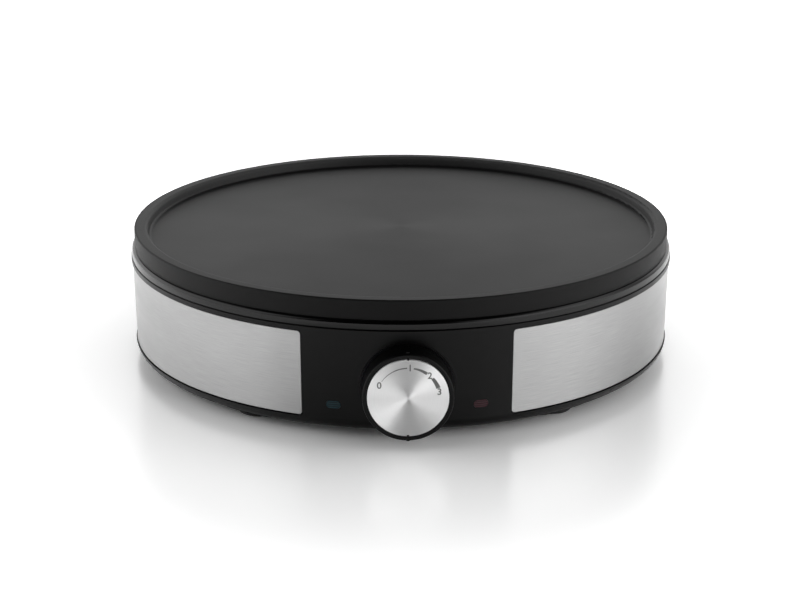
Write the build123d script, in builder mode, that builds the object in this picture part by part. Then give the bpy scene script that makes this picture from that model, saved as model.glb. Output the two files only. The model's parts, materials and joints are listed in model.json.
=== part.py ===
"""Electric crepe maker: a round cast baking plate on a slim countertop housing.

Frame: millimetres, +Z up. The origin is on the axis of the round body, at the table plane.
The knob is at the front, towards -Y.
"""

import os
from math import atan, atan2, cos, degrees, radians, sin, sqrt, tan

from build123d import *

# ---------------------------------------------------------------- driving dimensions, in mm
# Baking plate
plate_radius = 150.0
plate_side_height = 10.6
plate_gap = 0.2
plate_draft = 0.05
plate_edge_fillet = 0.4
rim_land = 7.1
rim_wall_run = 1.3
baking_depth = 5.0
baking_thickness = 4.6
skirt_land = 7.4
rim_edge_fillet = 0.8
rim_crest_fillet = 2.2
rim_floor_fillet = 1.5

# Heating element, in a groove under the plate
element_inset = 55.0
element_tube_r = 4.0
element_drop = 4.4
element_gap_deg = 26.0
element_bend_r = 10.0
element_leg = 6.0
groove_clearance = 0.3
groove_wall = 4.0
groove_depth = 1.5
terminal_pin_r = 1.6
terminal_pin_length = 7.0
terminal_blade_thickness = 0.8

# Housing
body_proud = 1.5
body_draft_deg = 0.8
body_top_z = 57.8
body_bottom_z = 4.0
curl_run = 5.25
curl_z = 10.0
wall = 2.6
wall_cut = 8.0
top_edge_fillet = 0.35
ledge_reach = 1.4
lip_width = 1.4
lip_height = 3.2
inner_wall_start = 0.5
wall_rib_angles = (50.0, 76.0, 104.0, 130.0)
wall_rib_depth = 4.0
wall_rib_thickness = 1.6
wall_rib_start = 2.0

# Collar ring between the housing and the plate
collar_proud = 0.26
collar_height = 4.4
collar_parting = 0.25
collar_parting_depth = 1.9
collar_bead_fillet = 1.4
collar_foot_fillet = 0.35
collar_crest = 2.9
collar_seat_width = 4.5
collar_seat_thickness = 1.6

# Side panels
panel_top_margin = 3.0
panel_start_deg = 20.5
panel_end_deg = 159.5
panel_thickness = 0.6
panel_sink = 0.65
panel_corner_r = 1.8
panel_gap = 0.45
panel_back_gap = 0.15
panel_edge_fillet = 0.2
tab_angles = (38.0, 90.0, 142.0)
tab_width = 8.0
tab_thickness = 0.8
tab_reach = 4.6
tab_inset = 5.0
tab_clearance = 0.4
recess_reach = 1.0

# Thermostat knob
knob_z = 27.85
knob_depth = 12.4
knob_gap = 0.4
knob_front_r = 22.6
knob_back_r = 23.0
knob_wall = 2.0
knob_web = 2.2
knob_spoke_thickness = 1.2
knob_spoke_setback = 5.0
knob_rib_width = 1.6
knob_rib_height = 0.35
knob_rib_end = 1.4
knob_edge_fillet = 0.7
hub_r = 5.6
disc_r = 20.1
disc_thickness = 1.4
disc_proud = 0.2
disc_clearance = 0.25
disc_notch_width = 1.2
disc_notch_depth = 0.7
disc_chamfer = 0.2
bezel_r = 23.9
bezel_proud = 0.85
bezel_depth = 6.0
spindle_hole_r = 5.2

# Control spindle
spindle_r = 3.0
spindle_running_gap = 0.05
spindle_flat = 1.5
spindle_end_gap = 0.5
spindle_fit = 0.1
collar_r = 4.2
collar_width = 1.5
axial_play = 0.3
spindle_chamfer = 0.4
clip_sheet = 0.6
clip_width = 3.0
clip_inset = 1.0

# Knob travel, in degrees from the drawn position, and the stop that limits it
travel_low_deg = -65.0
travel_high_deg = 80.0
stop_disc_r = 9.6
stop_tab_inner_r = 8.4
stop_tab_sheet = 1.5
stop_tab_width = 4.0
stop_slack_deg = 2.0

# Thermostat
bracket_setback = 19.65
bracket_sheet = 1.5
bracket_width = 28.0
bracket_tail = 13.85
bracket_boss_drop = 3.4
bracket_flange = 14.0
bracket_screw_x = 9.5
bracket_bend_r = 2.0
bracket_corner_r = 7.0
bushing_r = 5.0
bushing_front = 7.5
bushing_flange_r = 6.5
bushing_flange = 1.0
bushing_hole_gap = 0.1
nut_flats = 14.0
nut_thickness = 3.0
stack_drop = 11.0
stack_height = 10.0
stack_corner_r = 1.0
stack_width = 14.0
spacer_thickness = 3.0
leaf_thickness = 0.5
leaf_width = 8.0
leaf_end = 4.0
bimetal_thickness = 0.8
contact_r = 2.0
contact_drop = 3.85
push_pin_r = 1.5
stack_plate_thickness = 1.0
rivet_r = 1.4
rivet_head_r = 2.4
rivet_head = 0.8
rivet_spacing = 5.4
tab_blade_width = 6.3
tab_blade_length = 9.0

# Pilot lamps
lamp_angle_deg = 14.1
lamp_z = 17.5
lens_width = 7.6
lens_height = 4.0
lens_clearance = 0.15
lens_flange_width = 10.6
lens_flange_height = 7.0
lens_flange_thickness = 1.2
lens_flange_gap = 0.35
neon_r = 2.0
neon_length = 9.5
neon_tip_fillet = 1.2
neon_clearance = 0.2
holder_depth = 8.0
holder_width = 11.0
holder_height = 8.0
rail_thickness = 2.0
rail_gap = 0.2
rail_height = 14.0
rail_embed = 1.5

# Heat shield
shield_margin = 13.0
shield_drop = 13.4
shield_depth = 10.5
shield_sheet = 0.6
shield_flare = 3.0
shield_bend_r = 3.0
shield_pillar_radius = 60.0
shield_pillar_count = 3
leg_hole_r = 6.0

# Thermal fuse, on the underside of the plate
fuse_x = -28.0
fuse_y = 12.0
fuse_r = 2.2
fuse_edge_fillet = 0.7
fuse_length = 16.0
fuse_plate_gap = 0.3
fuse_clip_sheet = 0.8
fuse_clip_width = 7.0
fuse_boss_offset = 9.0
fuse_boss_drop = 2.6

# Earth tag
earth_x = 30.0
earth_y = 12.0
earth_boss_drop = 4.0
earth_sheet = 0.8
earth_tag_length = 15.0

# Base cover
cover_thickness = 2.5
cover_gap = 0.3
cover_chamfer = 0.4
rib_height = 4.0
rib_thickness = 1.6
rib_radii = (48.0, 100.0)
vent_count = 20
vent_radius = 74.0
vent_length = 22.0
vent_width = 3.2
inner_vent_count = 10
inner_vent_radius = 30.0

# Screws that hold the cover to the housing
cover_screw_angles = (62.0, 118.0, 165.0)
cover_boss_margin = 3.2
cover_screw_r = 1.75
cover_screw_length = 16.0
cover_boss_r = 4.5
cover_boss_rise = 2.0
cover_boss_length = 17.5
cover_boss_cap = 2.0
web_thickness = 2.0
cover_head_r = 3.3
cover_head_height = 1.9

# Screws and sleeves that clamp the plate down through the cover
plate_screw_angle = 50.0
plate_screw_inset = 25.0
plate_screw_r = 2.0
plate_boss_r = 6.0
plate_boss_drop = 5.4
plate_head_r = 3.8
plate_head_height = 2.8
well_rise = 3.5
well_floor = 2.0
well_boss_r = 7.0
sleeve_r = 4.5
sleeve_bore_gap = 0.3
screw_gap = 0.1
head_room = 0.4
screw_bite = 6.0
plate_bite = 1.15
thread_run_out = 1.0
small_screw_r = 1.5
small_head_r = 2.9
small_head_height = 1.8
small_boss_r = 4.5

# Feet
foot_angle_deg = 35.0
foot_margin = 0.1
foot_r = 11.5
foot_edge_fillet = 0.8
foot_hollow_r = 7.5
foot_hollow_depth = 0.6
foot_seat_z = 3.4
foot_boss_r = 12.8
foot_boss_sweep_deg = 8.2
foot_boss_z = 2.0
foot_boss_fillet = 0.8
foot_stem_r = 3.0
foot_head_r = 4.2
foot_head_height = 2.0
foot_head_taper_deg = 25.0
foot_gap = 0.2

# Mains connection at the back
gland_z = 22.0
gland_bore_r = 3.6
gland_barrel_r = 6.0
gland_flange_r = 8.5
gland_flange = 2.0
gland_barrel_length = 13.0
gland_gap = 0.2
gland_pad_r = 10.5
gland_pad_proud = 0.85
cord_run = 8.5
clamp_width = 28.0
clamp_length = 9.0
clamp_split = 0.6
clamp_bar_thickness = 3.0
clamp_screw_x = 9.5
block_width = 32.0
block_length = 14.0
block_height = 13.0
block_post_height = 5.0
block_post_r = 3.0
block_poles = 3
block_pitch = 9.6
block_wire_r = 2.2
block_screw_offset = 4.4
block_groove_width = 1.6
block_groove_depth = 3.0
block_corner_r = 1.5
pole_screw_r = 1.3
pole_screw_sink = 1.0
pole_screw_bite = 0.75

# ---------------------------------------------------------------- derived values
# Stack of the housing, the collar and the plate
collar_top_z = body_top_z + collar_height
plate_skirt_z = collar_top_z + plate_gap
plate_top_z = plate_skirt_z + plate_side_height
plate_floor_z = plate_top_z - baking_depth
plate_under_z = plate_floor_z - baking_thickness
panel_bottom_z = curl_z
panel_top_z = body_top_z - panel_top_margin
element_z = plate_under_z - element_drop
shield_floor_z = plate_under_z - shield_drop
shield_rim_z = shield_floor_z + shield_depth
# Radii, all from the plate's edge
seat_r = plate_radius - plate_draft - skirt_land
body_radius = plate_radius + body_proud
body_bottom_radius = body_radius - curl_run
body_slope = tan(radians(body_draft_deg))
ledge_inner_radius = seat_r - ledge_reach
lip_radius = body_bottom_radius - lip_width
collar_radius = body_radius + collar_proud
collar_parting_r = collar_radius - collar_parting_depth
collar_groove_r = collar_radius - collar_crest
element_radius = plate_radius - element_inset
shield_radius = element_radius + shield_margin
cover_radius = lip_radius - cover_gap
cover_screw_radius = cover_radius - cover_boss_margin - cover_boss_r
plate_screw_radius = plate_radius - plate_screw_inset
foot_circle_radius = cover_radius - foot_margin - foot_boss_r
# Base cover and what stands on it
cover_top_z = body_bottom_z + cover_thickness
cover_boss_z = cover_top_z + cover_boss_rise
cover_boss_top_z = cover_boss_z + cover_boss_length
well_top_z = cover_top_z + well_rise
plate_boss_z = plate_under_z - plate_boss_drop
hole_top_z = plate_under_z + baking_thickness / 2
fuse_boss_z = plate_under_z - fuse_boss_drop
earth_boss_z = plate_under_z - earth_boss_drop
# Depths at the front, from the bezel to the knob
bezel_front_y = -body_radius - bezel_proud
bezel_root_y = bezel_front_y + bezel_depth
knob_back_y = bezel_front_y - knob_gap
knob_front_y = knob_back_y - knob_depth
disc_front_y = knob_front_y - disc_proud
knob_recess_y = disc_front_y + disc_thickness
knob_inner_y = knob_recess_y + knob_web
knob_hollow_depth = knob_back_y - knob_inner_y
# Thermostat
bracket_top_z = plate_under_z - bracket_boss_drop
bracket_bottom_z = knob_z - bracket_tail
stack_z = bracket_top_z - stack_drop
contact_z = knob_z - contact_drop
leaf_bottom_z = contact_z - leaf_end
bracket_front_y = bracket_setback - body_radius
bracket_back_y = bracket_front_y + bracket_sheet
spring_a_y = bracket_back_y + spacer_thickness
spring_b_y = spring_a_y + leaf_thickness + spacer_thickness
bimetal_y = spring_b_y + leaf_thickness + spacer_thickness
stack_plate_y = bimetal_y + bimetal_thickness
stack_end_y = stack_plate_y + stack_plate_thickness
spindle_tip_y = spring_a_y - axial_play
bushing_front_y = bracket_front_y - bushing_front
spindle_collar_y = bushing_front_y - axial_play
stop_tab_y = spindle_collar_y - collar_width
pilot_r = small_screw_r + screw_gap
# Depths at the back, from the gland to the terminal block
gland_pad_y = body_radius + gland_pad_proud
gland_inner_y = gland_pad_y - gland_barrel_length
clamp_y = gland_inner_y - cord_run - clamp_length / 2
block_y = clamp_y - clamp_length / 2 - cord_run - block_length / 2


# ---------------------------------------------------------------- placing helpers
def body_r(z):
    """Radius of the drafted outer wall at a height."""
    return body_radius + (z - curl_z) * body_slope


def from_front(radius, angle_deg):
    """X and Y of a point on a circle, by its angle from the front, positive towards +X."""
    angle = radians(angle_deg)
    return radius * sin(angle), -radius * cos(angle)


def four_corners(radius, angle_deg):
    """Four points placed symmetrically about both vertical planes of the body."""
    x, y = from_front(radius, angle_deg)
    return [(x, y), (-x, y), (x, -y), (-x, -y)]


def wall_plane(angle_deg, radius, z):
    """Plane that faces outwards, its x along the wall and its y up."""
    x, y = from_front(radius, angle_deg)
    angle = radians(angle_deg)
    return Plane(origin=(x, y, z), x_dir=(cos(angle), sin(angle), 0), z_dir=(x, y, 0))


def section_plane(angle_deg):
    """Radial plane through the body axis: its x is the radius and its y is up."""
    x, y = from_front(1, angle_deg)
    return Plane(origin=(0, 0, 0), x_dir=(x, y, 0), z_dir=(y, -x, 0))


def front_plane(y, z=knob_z, x=0.0):
    """Plane that faces the front, its x along +X and its y up."""
    return Plane(origin=(x, y, z), x_dir=(1, 0, 0), z_dir=(0, -1, 0))


def columns(points, radius, low_z, high_z, mode=Mode.ADD):
    """Upright round columns, or holes, between two heights in the part being built."""
    with BuildSketch(Plane.XY.offset(low_z)) as circles:
        with Locations(*points):
            Circle(radius)
    extrude(circles.sketch, amount=high_z - low_z, mode=mode)


def finish(builder, name):
    """Label a finished piece and write it as its own file."""
    builder.part.label = name
    export_step(builder.part, f"parts/{name}.step")


def pan_screw(head_r, head_height, shank_r, length):
    """A pan-head screw that points up, with the underside of its head at z = 0."""
    with BuildPart() as screw:
        with BuildSketch(Plane.XZ):
            with BuildLine():
                FilletPolyline(
                    (0, -head_height),
                    (head_r, -head_height),
                    (head_r, 0),
                    (shank_r, 0),
                    (shank_r, length - shank_r / 2),
                    (shank_r / 2, length),
                    (0, length),
                    radius=[0, head_height * 0.6, 0, 0, 0, 0, 0],
                    close=True,
                )
            make_face()
        revolve(axis=Axis.Z)
    return screw.part


def screw_group(name, points, z, head_r, head_height, shank_r, length):
    """Identical screws that point up, written as one node."""
    screw = pan_screw(head_r, head_height, shank_r, length)
    with BuildPart() as group:
        with Locations(*[(x, y, z) for x, y in points]):
            add(screw)
    finish(group, name)


os.makedirs("parts", exist_ok=True)

# ---------------------------------------------------------------- where fasteners go
plate_screw_points = four_corners(plate_screw_radius, plate_screw_angle)
foot_points = four_corners(foot_circle_radius, foot_angle_deg)
cover_screw_points = [
    from_front(cover_screw_radius, side * angle) for angle in cover_screw_angles for side in (1, -1)
]
shield_points = [
    from_front(shield_pillar_radius, 180.0 + k * 360.0 / shield_pillar_count)
    for k in range(shield_pillar_count)
]
bracket_flange_y = bracket_front_y + bracket_flange / 2 + bracket_sheet / 2
bracket_points = [(-bracket_screw_x, bracket_flange_y), (bracket_screw_x, bracket_flange_y)]
fuse_screw_point = (fuse_x, fuse_y + fuse_boss_offset)
earth_point = (earth_x, earth_y)

# ---------------------------------------------------------------- baking plate
groove_r = element_tube_r + groove_clearance
land_radius = plate_radius - rim_land
with BuildPart() as baking_plate:
    with BuildSketch(Plane.XZ):
        with BuildLine():
            FilletPolyline(
                (0, plate_under_z),
                (seat_r, plate_under_z),
                (seat_r, plate_skirt_z),
                (plate_radius - plate_draft, plate_skirt_z),
                (plate_radius, plate_top_z),
                (land_radius, plate_top_z),
                (land_radius - rim_wall_run, plate_floor_z),
                (0, plate_floor_z),
                radius=[0, 0, 0, plate_edge_fillet, rim_edge_fillet, rim_crest_fillet, rim_floor_fillet, 0],
                close=True,
            )
        make_face()
    revolve(axis=Axis.Z)
    # Cast rib that carries the element groove
    with BuildSketch(Plane.XZ):
        with Locations((element_radius, (element_z - groove_depth + plate_under_z) / 2)):
            Rectangle(2 * (groove_r + groove_wall), plate_under_z - element_z + groove_depth)
    revolve(axis=Axis.Z)
    with BuildSketch(Plane.XZ):
        with Locations((element_radius, element_z)):
            Circle(groove_r)
        with Locations((element_radius, element_z - groove_r)):
            Rectangle(2 * groove_r, 2 * groove_r)
    revolve(axis=Axis.Z, mode=Mode.SUBTRACT)
    # Bosses for the clamping screws, the bracket, the shield, the fuse clip and the earth tag
    columns(plate_screw_points, plate_boss_r, plate_boss_z, plate_under_z)
    columns(bracket_points, small_boss_r, bracket_top_z, plate_under_z)
    columns(shield_points, small_boss_r, shield_floor_z, plate_under_z)
    columns([fuse_screw_point], small_boss_r, fuse_boss_z, plate_under_z)
    columns([earth_point], small_boss_r, earth_boss_z, plate_under_z)
    columns(plate_screw_points, plate_screw_r + screw_gap, plate_boss_z, hole_top_z, Mode.SUBTRACT)
    columns(
        [*bracket_points, *shield_points, fuse_screw_point, earth_point],
        pilot_r,
        shield_floor_z,
        hole_top_z,
        Mode.SUBTRACT,
    )
finish(baking_plate, "baking_plate")

# ---------------------------------------------------------------- heating element
half_gap = radians(element_gap_deg / 2)
ring_end = Vector(element_radius * sin(half_gap), element_radius * cos(half_gap), element_z)
ring_tangent = Vector(-cos(half_gap), sin(half_gap), 0)
down = Vector(0, 0, -1)
bend_end = ring_end + ring_tangent * element_bend_r + down * element_bend_r
bend_middle = (
    ring_end
    + ring_tangent * (element_bend_r * sin(radians(45)))
    + down * (element_bend_r * (1 - cos(radians(45))))
)
leg_end = bend_end + down * element_leg


def mirrored(point):
    """The same point on the other side of the plane X = 0."""
    return Vector(-point.X, point.Y, point.Z)


ring_front = Vector(0, -element_radius, element_z)
with BuildPart() as heating_element:
    with BuildLine() as element_path:
        Line(leg_end, bend_end)
        ThreePointArc(bend_end, bend_middle, ring_end)
        ThreePointArc(ring_end, ring_front, mirrored(ring_end))
        ThreePointArc(mirrored(ring_end), mirrored(bend_middle), mirrored(bend_end))
        Line(mirrored(bend_end), mirrored(leg_end))
    with BuildSketch(Plane(origin=leg_end, z_dir=(0, 0, 1))):
        Circle(element_tube_r)
    sweep()
finish(heating_element, "heating_element")
leg_points = [(leg_end.X, leg_end.Y), (-leg_end.X, leg_end.Y)]

with BuildPart() as element_terminals:
    with BuildSketch(Plane.XY.offset(leg_end.Z)):
        with Locations(*leg_points):
            Circle(terminal_pin_r)
    extrude(amount=-terminal_pin_length)
    with BuildSketch(Plane.XY.offset(leg_end.Z - terminal_pin_length)):
        with Locations(*leg_points):
            Rectangle(tab_blade_width, terminal_blade_thickness)
    extrude(amount=-tab_blade_length)
finish(element_terminals, "element_terminals")

# ---------------------------------------------------------------- heat shield
with BuildPart() as heat_shield:
    with BuildSketch(Plane.XZ):
        with BuildLine():
            FilletPolyline(
                (0, shield_floor_z),
                (shield_radius - shield_flare, shield_floor_z),
                (shield_radius, shield_rim_z),
                (shield_radius + shield_sheet, shield_rim_z),
                (shield_radius - shield_flare + shield_sheet, shield_floor_z - shield_sheet),
                (0, shield_floor_z - shield_sheet),
                radius=[0, shield_bend_r, 0, 0, shield_bend_r + shield_sheet, 0],
                close=True,
            )
        make_face()
    revolve(axis=Axis.Z)
    with BuildSketch(Plane.XY.offset(shield_floor_z - shield_sheet)):
        with Locations(*leg_points):
            Circle(leg_hole_r)
        with Locations(*shield_points):
            Circle(pilot_r + screw_gap)
    extrude(amount=shield_sheet, mode=Mode.SUBTRACT)
finish(heat_shield, "heat_shield")

# ---------------------------------------------------------------- collar ring
with BuildPart() as collar_ring:
    with BuildSketch(Plane.XZ):
        with BuildLine():
            FilletPolyline(
                (ledge_inner_radius, body_top_z),
                (collar_parting_r, body_top_z),
                (collar_parting_r, body_top_z + collar_parting),
                (collar_radius, body_top_z + collar_parting),
                (collar_radius, collar_top_z),
                (collar_groove_r, collar_top_z - collar_parting),
                (seat_r + collar_seat_width, collar_top_z - collar_parting),
                (seat_r + collar_seat_width, plate_skirt_z),
                (seat_r, plate_skirt_z),
                (seat_r, plate_skirt_z - collar_seat_thickness),
                (ledge_inner_radius, plate_skirt_z - collar_seat_thickness),
                radius=[0, 0, 0, collar_foot_fillet, collar_bead_fillet, 0, 0, 0, 0, 0, 0],
                close=True,
            )
        make_face()
    revolve(axis=Axis.Z)
finish(collar_ring, "collar_ring")

# ---------------------------------------------------------------- side panels
panel_arc = panel_end_deg - panel_start_deg


def panel_blank(gap, back_gap, front_reach, corner_r):
    """The right side panel's outline as a curved slab, grown by a gap on every side."""
    gap_deg = degrees(gap / body_radius)
    low_z = panel_bottom_z - gap
    high_z = panel_top_z + gap
    depth = panel_sink + panel_thickness + back_gap
    with BuildPart() as blank:
        with BuildSketch(section_plane(panel_start_deg - gap_deg)):
            with BuildLine():
                Polyline(
                    (body_r(low_z) - depth, low_z),
                    (body_r(low_z) + front_reach, low_z),
                    (body_r(high_z) + front_reach, high_z),
                    (body_r(high_z) - depth, high_z),
                    close=True,
                )
            make_face()
        revolve(axis=Axis.Z, revolution_arc=panel_arc + 2 * gap_deg)
        corners = blank.edges().filter_by(GeomType.LINE)
        corners = corners.filter_by(lambda e: abs(e.length - depth - front_reach) < 0.01)
        fillet(corners, corner_r)
    return blank.part


def tab_boxes(width, thickness, outer_reach, inner_reach):
    """Blocks that run through the wall where the panel's fixing tabs sit."""
    for angle in tab_angles:
        for z in (panel_bottom_z + tab_inset, panel_top_z - tab_inset):
            with BuildSketch(wall_plane(angle, body_r(z) - inner_reach, z)) as outline:
                Rectangle(width, thickness)
            extrude(outline.sketch, amount=inner_reach - outer_reach)


tab_root = panel_sink + panel_thickness / 2
with BuildPart() as right_panel:
    add(panel_blank(0, 0, -panel_sink, panel_corner_r))
    rim_faces = right_panel.faces().sort_by(lambda f: f.area)[-1]
    fillet(rim_faces.edges(), panel_edge_fillet)
    tab_boxes(tab_width, tab_thickness, tab_root, panel_sink + tab_reach)
finish(right_panel, "right_panel")
with BuildPart() as left_panel:
    add(mirror(right_panel.part, about=Plane.YZ))
finish(left_panel, "left_panel")

# ---------------------------------------------------------------- housing
lamp_angles = {"power": lamp_angle_deg, "ready": -lamp_angle_deg}
lens_flange_radius = body_r(lamp_z) - wall - lens_flange_gap


def lamp_plane(angle, radius):
    """Plane across a pilot lamp's axis, facing outwards."""
    return wall_plane(angle, radius, lamp_z)


with BuildPart() as wall_slots:
    tab_boxes(
        tab_width + tab_clearance,
        tab_thickness + tab_clearance,
        0,
        wall + panel_thickness,
    )

with BuildPart() as housing:
    # Outer form: drafted wall that curls in to the bottom edge
    with BuildSketch(Plane.XZ):
        with BuildLine():
            top_r = body_r(body_top_z)
            Line((0, body_bottom_z), (body_bottom_radius, body_bottom_z))
            TangentArc(
                (body_radius, curl_z),
                (body_bottom_radius, body_bottom_z),
                tangent=(-body_slope, -1),
            )
            Line((body_radius, curl_z), (top_r, body_top_z - top_edge_fillet))
            RadiusArc(
                (top_r, body_top_z - top_edge_fillet),
                (top_r - top_edge_fillet, body_top_z),
                -top_edge_fillet,
            )
            Line((top_r - top_edge_fillet, body_top_z), (0, body_top_z))
            Line((0, body_top_z), (0, body_bottom_z))
        make_face()
    revolve(axis=Axis.Z)
    # Knob bezel at the front and gland pad at the back
    with BuildSketch(front_plane(bezel_root_y)):
        Circle(bezel_r)
    extrude(amount=bezel_root_y - bezel_front_y)
    with BuildSketch(Plane(origin=(0, -bezel_root_y, gland_z), x_dir=(-1, 0, 0), z_dir=(0, 1, 0))):
        Circle(gland_pad_r)
    extrude(amount=gland_pad_y + bezel_root_y)
    # Hollow inside, with a ledge at the top and a lip at the bottom
    with BuildSketch(Plane.XZ):
        with BuildLine():
            inner_top = body_r(body_top_z) - wall
            inner_low = body_r(curl_z) - wall
            inner_wall_z = curl_z + inner_wall_start
            Polyline(
                (0, body_bottom_z),
                (lip_radius, body_bottom_z),
                (lip_radius, body_bottom_z + lip_height),
                (inner_low, inner_wall_z),
                (inner_top, body_top_z - wall),
                (ledge_inner_radius, body_top_z - wall),
                (ledge_inner_radius, body_top_z),
                (0, body_top_z),
                close=True,
            )
        make_face()
    revolve(axis=Axis.Z, mode=Mode.SUBTRACT)
    # Side recesses and the slots for the panels' tabs
    recess = panel_blank(panel_gap, panel_back_gap, recess_reach, panel_corner_r + panel_gap)
    add(recess, mode=Mode.SUBTRACT)
    add(mirror(recess, about=Plane.YZ), mode=Mode.SUBTRACT)
    add(wall_slots.part, mode=Mode.SUBTRACT)
    add(mirror(wall_slots.part, about=Plane.YZ), mode=Mode.SUBTRACT)
    # Screw bosses, each with a web to the wall
    web_run = inner_low + wall / 2 - cover_screw_radius
    for x, y in cover_screw_points:
        web_plane = Plane(origin=(x, y, inner_wall_z), x_dir=(x, y, 0), z_dir=(0, 0, 1))
        with BuildSketch(web_plane):
            Rectangle(web_run, web_thickness, align=(Align.MIN, Align.CENTER))
        extrude(amount=cover_boss_top_z - inner_wall_z)
    columns(cover_screw_points, cover_boss_r, cover_boss_z, cover_boss_top_z)
    cover_hole_top = cover_boss_top_z - cover_boss_cap
    columns(cover_screw_points, cover_screw_r + screw_gap, cover_boss_z, cover_hole_top, Mode.SUBTRACT)
    # Upright ribs that stiffen the wall behind the panels
    rib_low_z = inner_wall_z + wall_rib_start
    for angle in wall_rib_angles:
        for side in (1, -1):
            with BuildSketch(wall_plane(side * angle, inner_low - wall_rib_depth, rib_low_z)):
                Rectangle(
                    wall_rib_thickness,
                    body_top_z - wall / 2 - rib_low_z,
                    align=(Align.CENTER, Align.MIN),
                )
            extrude(amount=wall_rib_depth + wall / 2)
    # Rails beside the pilot lamps
    rail_x = holder_width / 2 + rail_gap + rail_thickness / 2
    for angle in lamp_angles.values():
        with BuildSketch(lamp_plane(angle, lens_flange_radius - lens_flange_thickness - holder_depth)):
            with Locations((rail_x, 0), (-rail_x, 0)):
                Rectangle(rail_thickness, rail_height)
        extrude(amount=holder_depth + lens_flange_thickness + rail_embed)
        with BuildSketch(lamp_plane(angle, lens_flange_radius)):
            SlotOverall(lens_width + 2 * lens_clearance, lens_height + 2 * lens_clearance)
        extrude(amount=wall_cut, mode=Mode.SUBTRACT)
    # Spindle hole and gland hole
    with BuildSketch(front_plane(bezel_root_y + wall)):
        Circle(spindle_hole_r)
    extrude(amount=bezel_root_y + wall - bezel_front_y, mode=Mode.SUBTRACT)
    with BuildSketch(Plane(origin=(0, gland_inner_y, gland_z), x_dir=(-1, 0, 0), z_dir=(0, 1, 0))):
        Circle(gland_barrel_r + gland_gap)
    extrude(amount=gland_pad_y - gland_inner_y, mode=Mode.SUBTRACT)
finish(housing, "housing")

# ---------------------------------------------------------------- pilot lamps
with BuildPart() as outer_skin:
    with BuildSketch(Plane.XZ):
        with BuildLine():
            Polyline(
                (0, curl_z),
                (body_r(curl_z), curl_z),
                (body_r(body_top_z), body_top_z),
                (0, body_top_z),
                close=True,
            )
        make_face()
    revolve(axis=Axis.Z)

holder_face_r = lens_flange_radius - lens_flange_thickness
for lamp, angle in lamp_angles.items():
    with BuildPart() as lens:
        with BuildSketch(lamp_plane(angle, lens_flange_radius)):
            SlotOverall(lens_width, lens_height)
        extrude(amount=wall_cut)
        with BuildSketch(lamp_plane(angle, holder_face_r)):
            SlotOverall(lens_flange_width, lens_flange_height)
        extrude(amount=lens_flange_thickness)
        add(outer_skin.part, mode=Mode.INTERSECT)
    finish(lens, f"{lamp}_lamp_lens")
    with BuildPart() as holder:
        with BuildSketch(lamp_plane(angle, holder_face_r - holder_depth)):
            Rectangle(holder_width, holder_height)
            Circle(neon_r + neon_clearance, mode=Mode.SUBTRACT)
        extrude(amount=holder_depth)
    finish(holder, f"{lamp}_lamp_holder")
    with BuildPart() as neon:
        with BuildSketch(lamp_plane(angle, holder_face_r - neon_clearance - neon_length)):
            Circle(neon_r)
        extrude(amount=neon_length)
        outwards = Axis((0, 0, 0), lamp_plane(angle, 1).z_dir)
        fillet(neon.faces().sort_by(outwards)[-1].edges(), neon_tip_fillet)
    finish(neon, f"{lamp}_lamp")

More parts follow.
